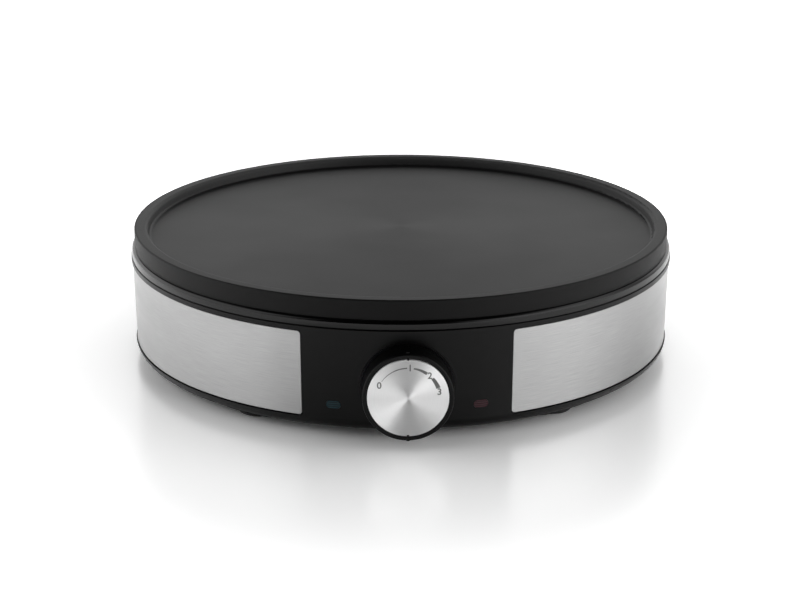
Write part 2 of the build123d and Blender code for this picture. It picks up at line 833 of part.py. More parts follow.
# ---------------------------------------------------------------- base cover and feet
with BuildPart() as base_cover:
    columns([(0, 0)], cover_radius, body_bottom_z, cover_top_z)
    chamfer(base_cover.edges().filter_by(GeomType.CIRCLE).group_by(Axis.Z)[-1], cover_chamfer)
    with BuildSketch(Plane.XY.offset(cover_top_z)):
        for rib_r in rib_radii:
            Circle(rib_r + rib_thickness / 2)
            Circle(rib_r - rib_thickness / 2, mode=Mode.SUBTRACT)
    extrude(amount=rib_height)
    columns(plate_screw_points, well_boss_r, cover_top_z, well_top_z)
    columns(cover_screw_points, cover_boss_r, cover_top_z, cover_boss_z)
    # Pads for the feet, drawn out along the rim of the cover
    with BuildSketch(Plane.XY.offset(foot_boss_z)):
        for x, y in foot_points:
            middle = degrees(atan2(y, x))
            pad_line = CenterArc(
                (0, 0), foot_circle_radius, middle - foot_boss_sweep_deg / 2, foot_boss_sweep_deg,
                mode=Mode.PRIVATE,
            )
            SlotArc(pad_line, 2 * foot_boss_r)
    extrude(amount=body_bottom_z - foot_boss_z)
    fillet(base_cover.edges().group_by(Axis.Z)[0], foot_boss_fillet)
    # Foot sockets
    columns(foot_points, foot_r + foot_gap, foot_boss_z, foot_seat_z, Mode.SUBTRACT)
    columns(foot_points, foot_stem_r + foot_gap, foot_seat_z, cover_top_z, Mode.SUBTRACT)
    # Screw wells
    well_top = well_top_z - well_floor
    columns(plate_screw_points, plate_head_r + head_room, body_bottom_z, well_top, Mode.SUBTRACT)
    columns(plate_screw_points, plate_screw_r + 2 * screw_gap, well_top, well_top_z, Mode.SUBTRACT)
    cover_well_top = cover_boss_z - well_floor
    columns(
        cover_screw_points, cover_head_r + head_room, body_bottom_z, cover_well_top, Mode.SUBTRACT
    )
    columns(
        cover_screw_points, cover_screw_r + 2 * screw_gap, cover_well_top, cover_boss_z, Mode.SUBTRACT
    )
    # Vents
    with BuildSketch(Plane.XY.offset(body_bottom_z)):
        with PolarLocations(vent_radius, vent_count, start_angle=180 / vent_count):
            SlotOverall(vent_length, vent_width)
        with PolarLocations(inner_vent_radius, inner_vent_count, start_angle=90):
            SlotOverall(vent_length, vent_width)
    extrude(amount=cover_thickness, mode=Mode.SUBTRACT)
    # Cord clamp base and terminal block posts
    with BuildSketch(Plane.XY.offset(cover_top_z)):
        with Locations((0, clamp_y)):
            Rectangle(clamp_width, clamp_length)
    extrude(amount=gland_z - clamp_split / 2 - cover_top_z)
    with BuildSketch(Plane.XZ.offset(-clamp_y - clamp_length)):
        with Locations((0, gland_z)):
            Circle(gland_bore_r + gland_gap)
    extrude(amount=2 * clamp_length, mode=Mode.SUBTRACT)
    clamp_points = [(-clamp_screw_x, clamp_y), (clamp_screw_x, clamp_y)]
    clamp_hole_z = gland_z - clamp_split / 2 - screw_bite - thread_run_out
    columns(clamp_points, pilot_r, clamp_hole_z, gland_z, Mode.SUBTRACT)
    block_points = [(-block_pitch / 2, block_y), (block_pitch / 2, block_y)]
    columns(block_points, block_post_r, cover_top_z, cover_top_z + block_post_height)
    columns(
        block_points, pilot_r, cover_top_z, cover_top_z + block_post_height, Mode.SUBTRACT
    )
finish(base_cover, "base_cover")

foot_places = dict(zip(("front_right", "front_left", "back_right", "back_left"), foot_points))
with BuildPart() as foot:
    columns([(0, 0)], foot_r, 0, foot_seat_z)
    fillet(foot.edges().group_by(Axis.Z)[0], foot_edge_fillet)
    columns([(0, 0)], foot_hollow_r, 0, foot_hollow_depth, Mode.SUBTRACT)
    columns([(0, 0)], foot_stem_r, foot_seat_z, cover_top_z + foot_gap)
    with BuildSketch(Plane.XY.offset(cover_top_z + foot_gap)):
        Circle(foot_head_r)
    extrude(amount=foot_head_height, taper=foot_head_taper_deg)
for place, (x, y) in foot_places.items():
    with BuildPart() as placed_foot:
        with Locations((x, y, 0)):
            add(foot.part)
    finish(placed_foot, f"foot_{place}")

# ---------------------------------------------------------------- screws and sleeves
with BuildPart() as plate_sleeves:
    columns(plate_screw_points, sleeve_r, well_top_z, plate_boss_z)
    columns(plate_screw_points, plate_screw_r + sleeve_bore_gap, well_top_z, plate_boss_z, Mode.SUBTRACT)
finish(plate_sleeves, "plate_sleeves")
screw_group(
    "plate_screws",
    plate_screw_points,
    well_top,
    plate_head_r,
    plate_head_height,
    plate_screw_r,
    plate_boss_z + screw_bite - well_top,
)
screw_group(
    "base_screws",
    cover_screw_points,
    cover_well_top,
    cover_head_r,
    cover_head_height,
    cover_screw_r,
    cover_screw_length,
)
screw_group(
    "shield_screws",
    shield_points,
    shield_floor_z - shield_sheet,
    small_head_r,
    small_head_height,
    small_screw_r,
    shield_sheet + screw_bite,
)
screw_group(
    "bracket_screws",
    bracket_points,
    bracket_top_z - bracket_sheet,
    small_head_r,
    small_head_height,
    small_screw_r,
    bracket_sheet + plate_under_z - bracket_top_z + plate_bite,
)

# ---------------------------------------------------------------- thermal fuse and earth tag
fuse_z = plate_under_z - fuse_plate_gap - fuse_r
with BuildPart() as thermal_fuse:
    with BuildSketch(Plane.YZ.offset(fuse_x - fuse_length / 2)):
        with Locations((fuse_y, fuse_z)):
            Circle(fuse_r)
    extrude(amount=fuse_length)
    fillet(thermal_fuse.edges().filter_by(GeomType.CIRCLE), fuse_edge_fillet)
finish(thermal_fuse, "thermal_fuse")

saddle_r = fuse_r + fuse_plate_gap / 2
clip_low_z = fuse_boss_z - fuse_clip_sheet
flange_end_y = fuse_y + fuse_boss_offset + small_boss_r
clip_outer_r = saddle_r + fuse_clip_sheet
flange_start_y = fuse_y + sqrt(clip_outer_r**2 - (fuse_z - clip_low_z) ** 2)
with BuildPart() as fuse_clip:
    with BuildSketch(Plane.YZ.offset(fuse_x - fuse_clip_width / 2)):
        with Locations((fuse_y, fuse_z)):
            Circle(clip_outer_r)
        with Locations(((flange_start_y + flange_end_y) / 2, fuse_boss_z - fuse_clip_sheet / 2)):
            Rectangle(flange_end_y - flange_start_y, fuse_clip_sheet)
        with Locations((fuse_y, fuse_z)):
            Circle(saddle_r, mode=Mode.SUBTRACT)
            Rectangle(
                2 * saddle_r, 2 * saddle_r, align=(Align.CENTER, Align.MIN), mode=Mode.SUBTRACT
            )
    extrude(amount=fuse_clip_width)
    with BuildSketch(Plane.XY.offset(clip_low_z)):
        with Locations(fuse_screw_point):
            Circle(pilot_r + screw_gap)
    extrude(amount=fuse_clip_sheet, mode=Mode.SUBTRACT)
finish(fuse_clip, "fuse_clip")
screw_group(
    "fuse_clip_screw",
    [fuse_screw_point],
    clip_low_z,
    small_head_r,
    small_head_height,
    small_screw_r,
    fuse_clip_sheet + fuse_boss_drop + plate_bite,
)

with BuildPart() as earth_tag:
    with BuildSketch(Plane.XY.offset(earth_boss_z - earth_sheet)):
        with Locations(earth_point):
            Circle(small_boss_r)
        with Locations((earth_x + earth_tag_length / 2, earth_y)):
            Rectangle(earth_tag_length, tab_blade_width)
        with Locations(earth_point):
            Circle(pilot_r + screw_gap, mode=Mode.SUBTRACT)
    extrude(amount=earth_sheet)
finish(earth_tag, "earth_tag")
screw_group(
    "earth_screw",
    [earth_point],
    earth_boss_z - earth_sheet,
    small_head_r,
    small_head_height,
    small_screw_r,
    earth_sheet + earth_boss_drop + plate_bite,
)

# ---------------------------------------------------------------- thermostat
rivet_points = [(0, stack_z - rivet_spacing / 2), (0, stack_z + rivet_spacing / 2)]


def depth_plane(y):
    """Upright plane whose normal points to the back; its x is -X and its y is up."""
    return Plane(origin=(0, y, 0), x_dir=(-1, 0, 0), z_dir=(0, 1, 0))


with BuildPart() as thermostat_bracket:
    with BuildSketch(Plane.YZ.offset(-bracket_width / 2)):
        with BuildLine():
            flange_end = bracket_front_y + bracket_sheet + bracket_flange
            FilletPolyline(
                (bracket_front_y, bracket_bottom_z),
                (bracket_front_y, bracket_top_z),
                (flange_end, bracket_top_z),
                (flange_end, bracket_top_z - bracket_sheet),
                (bracket_back_y, bracket_top_z - bracket_sheet),
                (bracket_back_y, bracket_bottom_z),
                radius=[0, bracket_bend_r, 0, 0, bracket_bend_r - bracket_sheet, 0],
                close=True,
            )
        make_face()
    extrude(amount=bracket_width)
    low_corners = thermostat_bracket.edges().filter_by(Axis.Y).group_by(Axis.Z)[0]
    fillet(low_corners, bracket_corner_r)
    flange_low_z = bracket_top_z - bracket_sheet
    columns(bracket_points, pilot_r + screw_gap, flange_low_z, bracket_top_z, Mode.SUBTRACT)
    with BuildSketch(depth_plane(bracket_front_y)):
        with Locations((0, knob_z)):
            Circle(bushing_r + bushing_hole_gap)
        with Locations(*rivet_points):
            Circle(rivet_r + screw_gap)
    extrude(amount=bracket_sheet, mode=Mode.SUBTRACT)
    # Tab bent forwards above the spindle, which stops the knob at both ends of its travel
    with BuildSketch(depth_plane(stop_tab_y)):
        with Locations((0, knob_z + stop_tab_inner_r + stop_tab_sheet / 2)):
            Rectangle(stop_tab_width, stop_tab_sheet)
    extrude(amount=bracket_back_y - stop_tab_y)
finish(thermostat_bracket, "thermostat_bracket")

with BuildPart() as ceramic_spacers:
    for y in (bracket_back_y, spring_a_y + leaf_thickness, spring_b_y + leaf_thickness):
        with BuildSketch(depth_plane(y)):
            with Locations((0, stack_z)):
                RectangleRounded(stack_width, stack_height, stack_corner_r)
            with Locations(*rivet_points):
                Circle(rivet_r + screw_gap, mode=Mode.SUBTRACT)
        extrude(amount=spacer_thickness)
finish(ceramic_spacers, "ceramic_spacers")


def leaf(name, y, thickness, blade_side, contact_side):
    """A leaf of the stack: blade, side tab for its lead and, on some, a contact rivet."""
    leaf_top_z = stack_z + stack_height / 2
    with BuildPart() as strip:
        with BuildSketch(depth_plane(y)):
            with Locations((0, (leaf_bottom_z + leaf_top_z) / 2)):
                Rectangle(leaf_width, leaf_top_z - leaf_bottom_z)
            if blade_side:
                with Locations((blade_side * (stack_width + tab_blade_length) / 2, stack_z)):
                    Rectangle(tab_blade_length, tab_blade_width)
                with Locations((blade_side * stack_width / 4, stack_z)):
                    Rectangle(stack_width / 2, tab_blade_width)
            with Locations(*rivet_points):
                Circle(rivet_r + screw_gap, mode=Mode.SUBTRACT)
        extrude(amount=thickness)
        if contact_side:
            with BuildSketch(depth_plane(y + thickness / 2)):
                with Locations((0, contact_z)):
                    Circle(contact_r)
            extrude(amount=contact_side * (thickness + spacer_thickness) / 2)
    finish(strip, name)


leaf("switch_spring", spring_a_y, leaf_thickness, 1, 1)
leaf("contact_spring", spring_b_y, leaf_thickness, -1, -1)
leaf("bimetal_strip", bimetal_y, bimetal_thickness, 0, 0)

with BuildPart() as push_pin:
    with BuildSketch(depth_plane(spring_b_y + leaf_thickness + axial_play)):
        with Locations((0, contact_z)):
            Circle(push_pin_r)
    extrude(amount=spacer_thickness - axial_play)
finish(push_pin, "push_pin")

with BuildPart() as stack_plate:
    with BuildSketch(depth_plane(stack_plate_y)):
        with Locations((0, stack_z)):
            RectangleRounded(stack_width, stack_height, stack_corner_r)
        with Locations(*rivet_points):
            Circle(rivet_r + screw_gap, mode=Mode.SUBTRACT)
    extrude(amount=stack_plate_thickness)
finish(stack_plate, "stack_plate")

with BuildPart() as stack_rivets:
    for y, depth, radius in (
        (bracket_front_y - rivet_head, rivet_head, rivet_head_r),
        (bracket_front_y, stack_end_y - bracket_front_y, rivet_r),
        (stack_end_y, rivet_head, rivet_head_r),
    ):
        with BuildSketch(depth_plane(y)):
            with Locations(*rivet_points):
                Circle(radius)
        extrude(amount=depth)
finish(stack_rivets, "stack_rivets")

spindle_bore_r = spindle_r + spindle_running_gap
with BuildPart() as spindle_bushing:
    with BuildSketch(depth_plane(bushing_front_y)):
        with Locations((0, knob_z)):
            Circle(bushing_r)
    extrude(amount=bracket_back_y - bushing_front_y)
    with BuildSketch(depth_plane(bracket_back_y)):
        with Locations((0, knob_z)):
            Circle(bushing_flange_r)
    extrude(amount=bushing_flange)
    with BuildSketch(depth_plane(bushing_front_y)):
        with Locations((0, knob_z)):
            Circle(spindle_bore_r)
    extrude(amount=bracket_back_y + bushing_flange - bushing_front_y, mode=Mode.SUBTRACT)
finish(spindle_bushing, "spindle_bushing")

with BuildPart() as bushing_nut:
    with BuildSketch(depth_plane(bracket_front_y - nut_thickness)):
        with Locations((0, knob_z)):
            RegularPolygon(nut_flats / 2, 6, major_radius=False)
            Circle(bushing_r + bushing_hole_gap, mode=Mode.SUBTRACT)
    extrude(amount=nut_thickness)
finish(bushing_nut, "bushing_nut")

# ---------------------------------------------------------------- knob and its spindle
spindle_end_y = knob_inner_y + spindle_end_gap
stop_half_deg = degrees(atan(stop_tab_width / 2 / stop_tab_inner_r)) + stop_slack_deg
stop_sector_start = 90.0 + stop_half_deg - travel_low_deg
stop_sector_end = 450.0 - stop_half_deg - travel_high_deg
with BuildPart() as control_spindle:
    with BuildSketch(front_plane(spindle_tip_y)):
        Circle(spindle_r)
    extrude(amount=spindle_tip_y - spindle_end_y)
    # Collar with a sector that meets the stop tab at either end of the travel
    with BuildSketch(front_plane(spindle_collar_y)):
        Circle(collar_r)
        with BuildLine():
            stop_edge = CenterArc(
                (0, 0), stop_disc_r, stop_sector_start, stop_sector_end - stop_sector_start
            )
            Polyline(stop_edge @ 1, (0, 0), stop_edge @ 0)
        make_face()
    extrude(amount=collar_width)
    with BuildSketch(front_plane(knob_back_y)):
        with Locations((0, spindle_flat)):
            Rectangle(2 * spindle_r, 2 * spindle_r, align=(Align.CENTER, Align.MIN))
    extrude(amount=knob_back_y - spindle_end_y, mode=Mode.SUBTRACT)
    chamfer(control_spindle.faces().sort_by(Axis.Y)[0].edges(), spindle_chamfer)
finish(control_spindle, "control_spindle")

with BuildPart() as knob:
    # Drafted body with a recess for the disc in front and a hollow behind
    with BuildSketch(front_plane(knob_back_y)):
        Circle(knob_back_r)
    with BuildSketch(front_plane(knob_front_y)):
        Circle(knob_front_r)
    loft()
    fillet(knob.faces().sort_by(Axis.Y)[0].edges(), knob_edge_fillet)
    with BuildSketch(front_plane(knob_back_y)):
        Circle(knob_back_r - knob_wall)
    extrude(amount=knob_hollow_depth, mode=Mode.SUBTRACT)
    with BuildSketch(front_plane(knob_recess_y)):
        Circle(disc_r + disc_clearance)
    extrude(amount=knob_recess_y - knob_front_y, mode=Mode.SUBTRACT)
    # Hub with a D-shaped socket, on four webs
    with BuildSketch(front_plane(knob_back_y)):
        with PolarLocations(0, 4, start_angle=45):
            Rectangle(
                knob_back_r - knob_wall / 2, knob_spoke_thickness, align=(Align.MIN, Align.CENTER)
            )
    extrude(amount=knob_hollow_depth)
    with BuildSketch(front_plane(knob_back_y)):
        Circle(knob_back_r - knob_wall)
    extrude(amount=knob_spoke_setback, mode=Mode.SUBTRACT)
    with BuildSketch(front_plane(knob_back_y)):
        Circle(hub_r)
    extrude(amount=knob_hollow_depth)
    with BuildSketch(front_plane(knob_back_y)) as socket:
        Circle(spindle_r + spindle_fit)
        with Locations((0, spindle_flat + spindle_fit)):
            Rectangle(
                3 * spindle_r, 2 * spindle_r, align=(Align.CENTER, Align.MIN), mode=Mode.SUBTRACT
            )
    extrude(amount=knob_hollow_depth, mode=Mode.SUBTRACT)
    # Ribs on the rim at twelve and six o'clock, and tabs that key the disc
    with BuildSketch(front_plane(knob_back_y - knob_edge_fillet)):
        with PolarLocations(knob_back_r - knob_wall / 2, 2, start_angle=90):
            Rectangle(knob_wall / 2 + knob_rib_height, knob_rib_width, align=(Align.MIN, Align.CENTER))
    extrude(amount=knob_depth - knob_edge_fillet - knob_rib_end)
    with BuildSketch(front_plane(knob_recess_y)):
        with PolarLocations(disc_r - disc_notch_depth + disc_clearance, 2, start_angle=90):
            Rectangle(
                disc_notch_depth + disc_clearance,
                disc_notch_width - disc_clearance,
                align=(Align.MIN, Align.CENTER),
            )
    extrude(amount=disc_thickness / 2)
finish(knob, "knob")

with BuildPart() as knob_disc:
    with BuildSketch(front_plane(knob_recess_y)):
        Circle(disc_r)
        with PolarLocations(disc_r - disc_notch_depth, 2, start_angle=90):
            Rectangle(
                2 * disc_notch_depth,
                disc_notch_width,
                align=(Align.MIN, Align.CENTER),
                mode=Mode.SUBTRACT,
            )
    extrude(amount=disc_thickness)
    front_edges = knob_disc.faces().sort_by(Axis.Y)[0].edges().filter_by(GeomType.CIRCLE)
    chamfer(front_edges, disc_chamfer)
finish(knob_disc, "knob_disc")

with BuildPart() as knob_clip:
    with BuildSketch(front_plane(knob_back_y - clip_inset)):
        Circle(hub_r + screw_gap + clip_sheet)
        Circle(hub_r + screw_gap, mode=Mode.SUBTRACT)
        with Locations((0, hub_r)):
            Rectangle(hub_r, 2 * hub_r, mode=Mode.SUBTRACT)
    extrude(amount=clip_width)
finish(knob_clip, "knob_clip")

# ---------------------------------------------------------------- mains connection
with BuildPart() as cord_gland:
    with BuildSketch(depth_plane(gland_inner_y)):
        with Locations((0, gland_z)):
            Circle(gland_barrel_r)
    extrude(amount=gland_pad_y - gland_inner_y)
    with BuildSketch(depth_plane(gland_pad_y)):
        with Locations((0, gland_z)):
            Circle(gland_flange_r)
    extrude(amount=gland_flange)
    fillet(cord_gland.faces().sort_by(Axis.Y)[-1].edges(), gland_flange / 2)
    with BuildSketch(depth_plane(gland_inner_y)):
        with Locations((0, gland_z)):
            Circle(gland_bore_r)
    extrude(amount=gland_pad_y + gland_flange - gland_inner_y, mode=Mode.SUBTRACT)
finish(cord_gland, "cord_gland")

bar_low_z = gland_z + clamp_split / 2
bar_top_z = gland_z + gland_bore_r + gland_gap + clamp_bar_thickness
with BuildPart() as cord_clamp:
    with BuildSketch(Plane.XY.offset(bar_low_z)):
        with Locations((0, clamp_y)):
            Rectangle(clamp_width, clamp_length)
    extrude(amount=bar_top_z - bar_low_z)
    with BuildSketch(depth_plane(clamp_y - clamp_length)):
        with Locations((0, gland_z)):
            Circle(gland_bore_r + gland_gap)
    extrude(amount=2 * clamp_length, mode=Mode.SUBTRACT)
    columns(clamp_points, pilot_r + screw_gap, bar_low_z, bar_top_z, Mode.SUBTRACT)
finish(cord_clamp, "cord_clamp")


def hanging_screws(name, points, z, length):
    """Small pan-head screws that point down, with the underside of the head at z."""
    screw = Rotation(180, 0, 0) * pan_screw(small_head_r, small_head_height, small_screw_r, length)
    with BuildPart() as group:
        with Locations(*[(x, y, z) for x, y in points]):
            add(screw)
    finish(group, name)


hanging_screws("clamp_screws", clamp_points, bar_top_z, bar_top_z - gland_z + screw_bite)

block_low_z = cover_top_z + block_post_height
block_top_z = block_low_z + block_height
block_screw_top = block_top_z - block_groove_depth
wire_z = block_low_z + block_height / 2
pole_xs = [(k - (block_poles - 1) / 2) * block_pitch for k in range(block_poles)]
pole_points = [(x, block_y + side * block_screw_offset) for x in pole_xs for side in (1, -1)]
with BuildPart() as terminal_block:
    with BuildSketch(Plane.XY.offset(block_low_z)):
        with Locations((0, block_y)):
            RectangleRounded(block_width, block_length, block_corner_r)
    extrude(amount=block_height)
    # Grooves between the poles, wire holes through, screw holes from above
    with BuildSketch(Plane.XY.offset(block_top_z)):
        with Locations(*[(x, block_y) for x, _ in block_points]):
            Rectangle(block_groove_width, block_length)
    extrude(amount=-block_groove_depth, mode=Mode.SUBTRACT)
    with BuildSketch(depth_plane(block_y - block_length / 2)):
        with Locations(*[(x, wire_z) for x in pole_xs]):
            Circle(block_wire_r)
    extrude(amount=block_length, mode=Mode.SUBTRACT)
    columns(pole_points, pole_screw_r + screw_gap, wire_z, block_top_z, Mode.SUBTRACT)
    columns(block_points, pilot_r + screw_gap, block_low_z, block_top_z, Mode.SUBTRACT)
    columns(
        block_points, small_head_r + screw_gap, block_screw_top, block_top_z, Mode.SUBTRACT
    )
finish(terminal_block, "terminal_block")

with BuildPart() as terminal_screws:
    columns(pole_points, pole_screw_r, wire_z - pole_screw_bite, block_top_z - pole_screw_sink)
finish(terminal_screws, "terminal_screws")
hanging_screws(
    "block_screws", block_points, block_screw_top, block_screw_top - cover_top_z - screw_gap
)
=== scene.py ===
import json
import math

import bpy
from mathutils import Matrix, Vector


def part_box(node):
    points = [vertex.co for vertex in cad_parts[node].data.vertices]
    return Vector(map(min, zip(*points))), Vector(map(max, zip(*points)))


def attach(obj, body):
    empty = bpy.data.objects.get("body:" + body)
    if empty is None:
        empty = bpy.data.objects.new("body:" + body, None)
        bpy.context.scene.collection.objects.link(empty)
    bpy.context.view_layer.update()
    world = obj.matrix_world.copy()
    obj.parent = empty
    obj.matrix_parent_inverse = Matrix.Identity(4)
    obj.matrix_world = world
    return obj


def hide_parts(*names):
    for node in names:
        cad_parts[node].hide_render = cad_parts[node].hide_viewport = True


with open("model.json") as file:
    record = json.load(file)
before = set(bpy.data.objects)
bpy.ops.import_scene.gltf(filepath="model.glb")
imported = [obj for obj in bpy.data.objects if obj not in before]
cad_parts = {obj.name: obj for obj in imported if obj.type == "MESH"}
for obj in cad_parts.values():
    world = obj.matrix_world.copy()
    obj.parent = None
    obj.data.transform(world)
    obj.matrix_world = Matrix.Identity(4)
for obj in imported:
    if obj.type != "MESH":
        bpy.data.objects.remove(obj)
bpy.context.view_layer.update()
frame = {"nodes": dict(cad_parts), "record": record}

MM = 0.001


# ------------------------------------------------------------------ sizes read from the frame
nodes = frame["nodes"]
disc_low, disc_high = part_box("knob_disc")
knob_centre = Vector(((disc_low.x + disc_high.x) / 2, disc_low.y, (disc_low.z + disc_high.z) / 2))
body_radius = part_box("housing")[1].x


# ------------------------------------------------------------------ small helpers
# A Mix node's colour sockets have the same names as its number sockets, so they go by number
COLOUR_A, COLOUR_B, MIXED_COLOUR = 6, 7, 2
# Nearly all of a noise texture lies between these two values
NOISE_LOW, NOISE_HIGH = 0.3, 0.7


def linear(hex_code):
    """An sRGB hex colour as linear RGBA."""
    channels = [int(hex_code[i:i + 2], 16) / 255 for i in (1, 3, 5)]
    return tuple(c / 12.92 if c <= 0.04045 else ((c + 0.055) / 1.055) ** 2.4 for c in channels) + (1,)


def set_inputs(tree, node, inputs):
    """Gives a node its inputs: a plain value, a socket to link, or a node whose first output it is."""
    for key, value in inputs.items():
        if isinstance(value, bpy.types.Node):
            value = value.outputs[0]
        if isinstance(value, bpy.types.NodeSocket):
            tree.links.new(value, node.inputs[key])
        else:
            node.inputs[key].default_value = value


def add_node(tree, kind, inputs=None, **settings):
    """Adds a node with its settings and its inputs."""
    node = tree.nodes.new(kind)
    for name, value in settings.items():
        setattr(node, name, value)
    set_inputs(tree, node, inputs or {})
    return node


def start_material(name, hex_code, metallic, roughness):
    """A material with its shader's plain values set, ready for its pattern."""
    material = bpy.data.materials.new(name)
    material.use_nodes = True
    tree = material.node_tree
    shader = tree.nodes["Principled BSDF"]
    set_inputs(
        tree, shader,
        {"Base Color": linear(hex_code), "Metallic": metallic, "Roughness": roughness},
    )
    place = add_node(tree, "ShaderNodeTexCoord").outputs["Object"]
    return material, tree, shader, place


def patchy(tree, place, patch_mm, low, high, detail=2.0, fineness=0.5):
    """A value that wanders between low and high, over patches about patch_mm across."""
    clouds = add_node(
        tree, "ShaderNodeTexNoise",
        {"Vector": place, "Scale": 1 / (patch_mm * MM), "Detail": detail, "Roughness": fineness},
    )
    return add_node(
        tree, "ShaderNodeMapRange",
        {
            "Value": clouds, "From Min": NOISE_LOW, "From Max": NOISE_HIGH,
            "To Min": low, "To Max": high,
        },
    )


def pitted(tree, place, pit_mm, depth_mm, strength, detail=2.0, fineness=0.5):
    """Surface relief of small dents, about pit_mm across and of a real depth."""
    dents = add_node(
        tree, "ShaderNodeTexNoise",
        {"Vector": place, "Scale": 1 / (pit_mm * MM), "Detail": detail, "Roughness": fineness},
    )
    return add_node(
        tree, "ShaderNodeBump", {"Height": dents, "Distance": depth_mm * MM, "Strength": strength}
    )


def unrolled_wall(tree, place, radius):
    """Lays the round wall flat: X is the length along the wall, Y is the height."""
    split = add_node(tree, "ShaderNodeSeparateXYZ", {"Vector": place})
    angle = add_node(
        tree, "ShaderNodeMath", {0: split.outputs["Y"], 1: split.outputs["X"]}, operation="ARCTAN2"
    )
    along = add_node(tree, "ShaderNodeMath", {0: angle, 1: radius}, operation="MULTIPLY")
    return add_node(tree, "ShaderNodeCombineXYZ", {"X": along, "Y": split.outputs["Z"]})


def distance_from_axis(tree, place, axis, centre=(0, 0, 0)):
    """Distance of each point from the line through a centre along one axis."""
    across = [0 if name == axis else 1 for name in "XYZ"]
    moved = add_node(tree, "ShaderNodeVectorMath", {0: place, 1: centre}, operation="SUBTRACT")
    flat = add_node(tree, "ShaderNodeVectorMath", {0: moved, 1: across}, operation="MULTIPLY")
    return add_node(tree, "ShaderNodeVectorMath", {0: flat}, operation="LENGTH").outputs["Value"]


# ------------------------------------------------------------------ materials
def nonstick_coated_aluminium():
    """Sprayed non-stick coating on a casting: satin and even on the floor, gritty on rim and wall."""
    material, tree, shader, place = start_material("nonstick_coated_aluminium", "#0b0b0b", 0.0, 0.45)
    # The plate's floor ends, its rim begins, and the flat top of the rim ends, at these radii
    floor_end, rim_start = 140.5 * MM, 143.5 * MM
    land_end, wall_start = 148.6 * MM, 149.4 * MM
    grain_mm, grain_depth_mm = 0.55, 0.06
    radius = distance_from_axis(tree, place, "Z")
    outer = add_node(
        tree, "ShaderNodeMapRange", {"Value": radius, "From Min": floor_end, "From Max": rim_start}
    )
    grain = add_node(
        tree, "ShaderNodeTexNoise",
        {"Vector": place, "Scale": 1 / (grain_mm * MM), "Detail": 2.0, "Roughness": 0.7},
    )
    roughness = add_node(
        tree, "ShaderNodeMath",
        {
            0: patchy(tree, place, 38, 0.44, 0.46, 3.0),
            1: add_node(tree, "ShaderNodeMapRange", {"Value": outer, "To Max": 0.1}),
        },
        operation="ADD",
    )
    # The flat top of the rim is painted lighter than the floor, a painted sheen standing for the side
    # light it catches
    inside_wall = add_node(
        tree, "ShaderNodeMapRange",
        {"Value": radius, "From Min": land_end, "From Max": wall_start, "To Min": 1.0, "To Max": 0.0},
    )
    rim = add_node(tree, "ShaderNodeMath", {0: outer, 1: inside_wall}, operation="MULTIPLY")
    fresh = add_node(
        tree, "ShaderNodeMix",
        {"Factor": grain, COLOUR_A: linear("#070707"), COLOUR_B: linear("#0f0f0f")}, data_type="RGBA",
    ).outputs[MIXED_COLOUR]
    # Painted sheen: the lighter colour given to the rim's flat top
    rim_painted_sheen = add_node(
        tree, "ShaderNodeMix",
        {"Factor": grain, COLOUR_A: linear("#303030"), COLOUR_B: linear("#444444")}, data_type="RGBA",
    ).outputs[MIXED_COLOUR]
    colour = add_node(
        tree, "ShaderNodeMix", {"Factor": rim, COLOUR_A: fresh, COLOUR_B: rim_painted_sheen}, data_type="RGBA"
    ).outputs[MIXED_COLOUR]
    grit = add_node(
        tree, "ShaderNodeMath",
        {0: grain, 1: add_node(tree, "ShaderNodeMapRange", {"Value": outer, "To Min": 0.25})},
        operation="MULTIPLY",
    )
    relief = add_node(
        tree, "ShaderNodeBump", {"Height": grit, "Distance": grain_depth_mm * MM, "Strength": 0.8}
    )
    set_inputs(tree, shader, {
        "Base Color": colour,
        "Roughness": roughness,
        "IOR": 1.38,
        "Specular IOR Level": 0.25,
        "Anisotropic": 0.15,
        "Anisotropic Rotation": 0.25,
        "Tangent": add_node(tree, "ShaderNodeTangent", direction_type="RADIAL", axis="Z"),
        "Normal": relief,
    })
    return material


def gloss_phenolic():
    """Heat-resistant moulding polished in its tool: deep black with sharp highlights."""
    material, tree, shader, place = start_material("gloss_phenolic", "#050505", 0.0, 0.14)
    set_inputs(tree, shader, {
        "Roughness": patchy(tree, place, 9, 0.12, 0.16, 3.0),
        "Specular IOR Level": 0.25,
        "Normal": pitted(tree, place, 3.0, 0.01, 0.5, 1.0),
    })
    return material


def satin_moulded_plastic(name, hex_code, roughness, grain_mm, depth_mm):
    """Moulded plastic whose fine tool texture scatters the highlight."""
    material, tree, shader, place = start_material(name, hex_code, 0.0, roughness)
    set_inputs(tree, shader, {
        "Roughness": patchy(tree, place, grain_mm * 30, roughness - 0.03, roughness + 0.03),
        "Specular IOR Level": 0.15,
        "Normal": pitted(tree, place, grain_mm, depth_mm, 0.7, 2.0, 0.6),
    })
    return material


